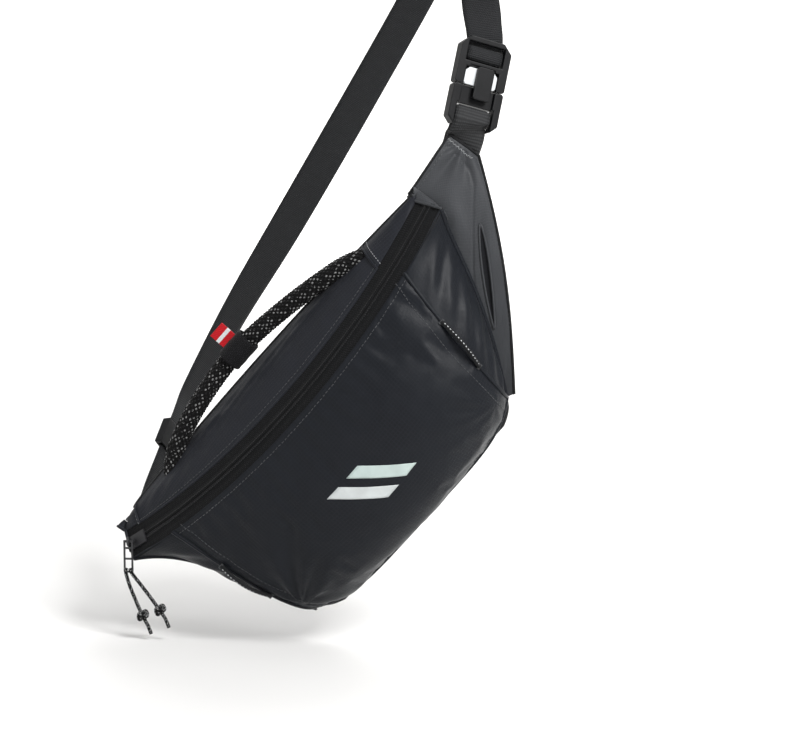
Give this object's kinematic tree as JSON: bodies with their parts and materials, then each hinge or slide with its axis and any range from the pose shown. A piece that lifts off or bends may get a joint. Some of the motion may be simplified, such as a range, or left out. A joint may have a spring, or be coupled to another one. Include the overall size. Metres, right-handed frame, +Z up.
{
  "type": "hip bag",
  "caption": "Zipped cloth hip bag worn across the body, with a rope carry handle, side wings, a webbing strap loop and a snap buckle.",
  "frame": {"origin": "centre of the back panel's flat face, which lies on the wearer", "axes": "+Y out of the back face towards the wearer, +Z up as worn, +X to the viewer's right from the front; the bag's long axis leans 48.5 degrees"},
  "size_m": [0.2717, 0.2887, 0.6078],
  "materials": {
    "body_cloth": "fine ripstop nylon, soft sheen",
    "top_cloth": "fine ripstop nylon, slate",
    "back_mesh": "padded spacer mesh",
    "zip_tape": "coarse woven tape",
    "zip_coil": "nylon coil",
    "zip_metal": "dark coated metal",
    "fleck_cord": "braided cord with pale flecks",
    "rope": "kernmantle rope with pale flecks",
    "label": "woven label",
    "red_tab": "woven red tab",
    "wing_cloth": "diagonal micro-ripstop, mid grey",
    "binding": "narrow woven binding",
    "reflective": "reflective film",
    "buckle_plastic": "dark moulded acetal",
    "pale_plastic": "silver-white moulded face",
    "webbing": "twill polyester webbing",
    "elastic": "woven elastic"
  },
  "bodies": {
    "bag": {"front_panel": "body_cloth", "gusset_right": "body_cloth", "gusset_left": "body_cloth", "top_panel": "top_cloth", "top_tab_right": "top_cloth", "top_tab_left": "top_cloth", "back_panel": "back_mesh", "zipper_tape_upper": "zip_tape", "zipper_tape_lower": "zip_tape", "zipper_coil_upper": "zip_coil", "zipper_coil_lower": "zip_coil", "zipper_stop_left": "zip_tape", "zipper_stop_right": "zip_tape", "wing_right": "wing_cloth", "wing_left": "wing_cloth", "side_loop_right": "binding", "side_loop_left": "binding", "front_mark": "reflective", "buckle_lower": "buckle_plastic", "buckle_upper": "buckle_plastic", "buckle_insert": "pale_plastic", "wing_webbing_right": "webbing", "strap_front": "webbing", "strap_back": "webbing", "strap_left": "webbing"},
    "slider": {"zipper_slider": "zip_metal"},
    "puller": {"zipper_puller": "zip_metal", "puller_cord_a": "fleck_cord", "puller_cord_b": "fleck_cord"},
    "handle": {"rope_handle": "rope", "handle_label": "label", "handle_tab": "red_tab"},
    "latch": {"buckle_latch": "buckle_plastic"},
    "keeper": {"strap_keeper": "elastic"},
    "adjuster": {"strap_adjuster": "buckle_plastic"}
  },
  "joints": [
    {"name": "zipper_run", "type": "hinge", "parent": "bag", "child": "slider", "pos_m": [-0.13898, 0.22762, 0.12296], "axis": [-0.6506, -0.4955, 0.5756], "range_deg": [0, 55]},
    {"name": "puller_swing", "type": "hinge", "parent": "slider", "child": "puller", "pos_m": [-0.13664, -0.02017, -0.07705], "axis": [1, 0, 0], "range_deg": [-75, 8]},
    {"name": "handle_lean", "type": "hinge", "parent": "bag", "child": "handle", "pos_m": [-0.04718, -0.009, 0.04175], "axis": [0.6626, 0, 0.749], "range_deg": [-20, 32], "stiffness_Nm_per_rad": 0.05},
    {"name": "latch_press", "type": "slide", "parent": "bag", "child": "latch", "axis": [0.1685, 0.2587, 0.9512], "range_m": [-0.004, 0], "stiffness_N_per_m": 300},
    {"name": "keeper_slide", "type": "slide", "parent": "bag", "child": "keeper", "axis": [-0.0449, 0.0589, 0.9973], "range_m": [-0.015, 0.012]},
    {"name": "adjuster_slide", "type": "slide", "parent": "bag", "child": "adjuster", "axis": [0.1543, 0.7408, 0.6538], "range_m": [-0.012, 0.012]}
  ]
}
